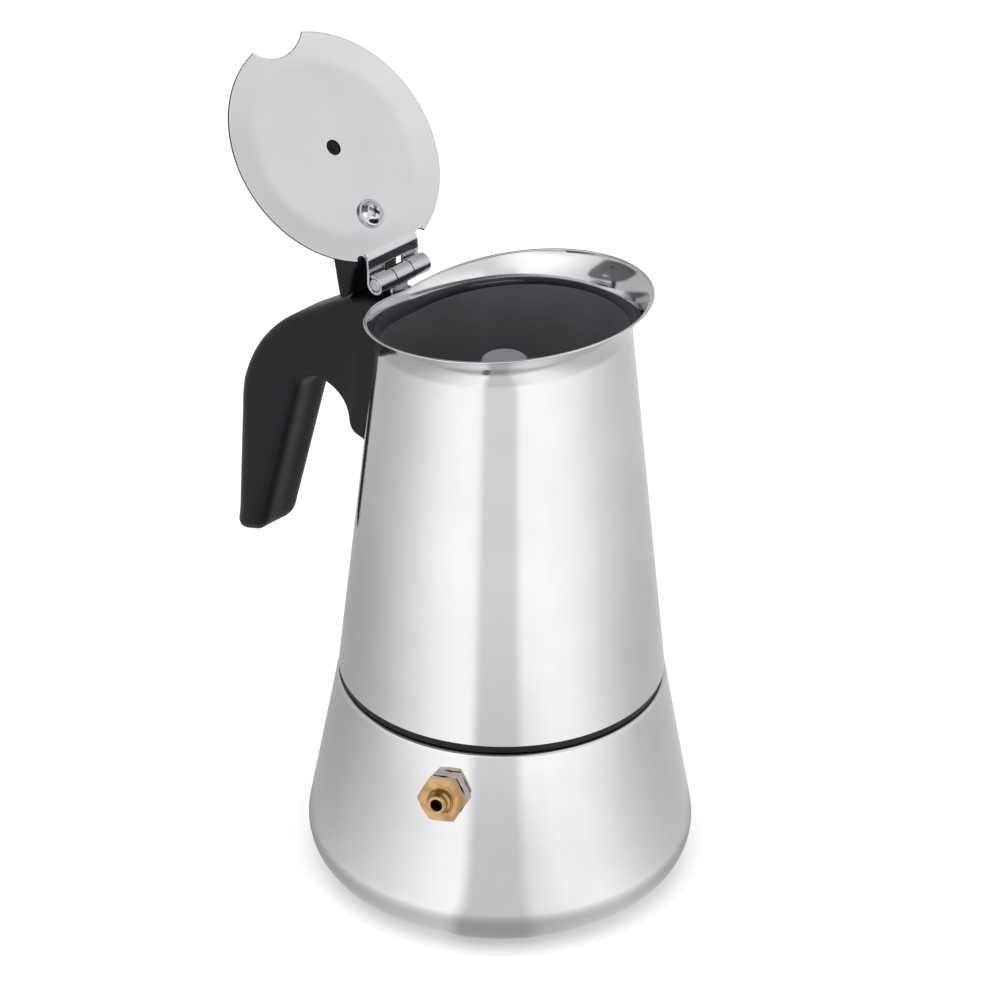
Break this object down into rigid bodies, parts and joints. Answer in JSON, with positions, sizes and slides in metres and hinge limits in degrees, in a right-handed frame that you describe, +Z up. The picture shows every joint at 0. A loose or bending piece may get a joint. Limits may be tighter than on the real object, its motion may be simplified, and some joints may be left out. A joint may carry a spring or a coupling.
{
  "type": "moka pot",
  "caption": "Stove-top moka pot: conical steel boiler with brass safety valve, screw-on collector with slanted pouring lip, hinged round lid with thumb lever, and a black open handle.",
  "frame": {"origin": "centre of the flat underside, on the pot's vertical axis", "axes": "+Z up, +X towards the pouring spout, handle and lid hinge on -X"},
  "size_m": [0.142, 0.1, 0.2079],
  "materials": {
    "polished_steel": "polished stainless steel with faint turning marks",
    "satin_steel": "satin stainless steel",
    "plain_steel": "plain machined steel",
    "spring_steel": "bright spring wire",
    "brass": "turned brass",
    "black_plastic": "moulded black nylon, fine grain",
    "black_silicone": "smooth black silicone",
    "white_silicone": "white food-grade silicone"
  },
  "bodies": {
    "boiler": {"boiler_shell": "polished_steel", "seam_ring": "black_silicone", "valve_boss": "plain_steel", "valve_washer": "black_silicone", "valve_body": "brass", "valve_seat": "brass", "valve_spring": "spring_steel"},
    "valve_plunger": {"valve_plunger": "brass"},
    "funnel": {"funnel_cup": "satin_steel", "funnel_plate": "satin_steel", "funnel_tube": "satin_steel"},
    "gasket_seat": {"gasket": "white_silicone", "filter_plate": "satin_steel"},
    "collector": {"collector_shell": "polished_steel", "thread_ring": "satin_steel", "collector_floor": "satin_steel", "column": "satin_steel", "column_cap": "satin_steel", "hinge_bracket": "plain_steel", "hinge_pin": "polished_steel", "handle": "black_plastic", "handle_bracket": "plain_steel", "handle_screw": "plain_steel"},
    "lid": {"lid_disc": "polished_steel", "lid_lever": "black_plastic", "lid_screw": "polished_steel"}
  },
  "joints": [
    {"name": "valve_open", "type": "slide", "parent": "boiler", "child": "valve_plunger", "axis": [0.4112, -0.894, 0.178], "range_m": [0, 0.0015], "stiffness_N_per_m": 300, "springref_m": -0.001, "deforming": ["valve_spring"]},
    {"name": "funnel_lift", "type": "slide", "parent": "boiler", "child": "funnel", "axis": [0, 0, 1], "range_m": [0, 0.0072]},
    {"name": "collector_lift", "type": "slide", "parent": "boiler", "child": "gasket_seat", "axis": [0, 0, 1], "range_m": [0, 0.00901]},
    {"name": "collector_unscrew", "type": "hinge", "parent": "gasket_seat", "child": "collector", "pos_m": [0, 0, 0.0587], "axis": [0, 0, 1], "range_deg": [0, 1080]},
    {"name": "lid_close", "type": "hinge", "parent": "collector", "child": "lid", "pos_m": [-0.0365, 0, 0.1575], "axis": [0, 1, 0], "range_deg": [0, 129.4]}
  ],
  "couplings": [
    {"joint": "collector_lift", "follows": "collector_unscrew", "m_per_rad": 0.00047746},
    {"joint": "funnel_lift", "follows": "collector_unscrew", "m_per_rad": 0.00038}
  ]
}
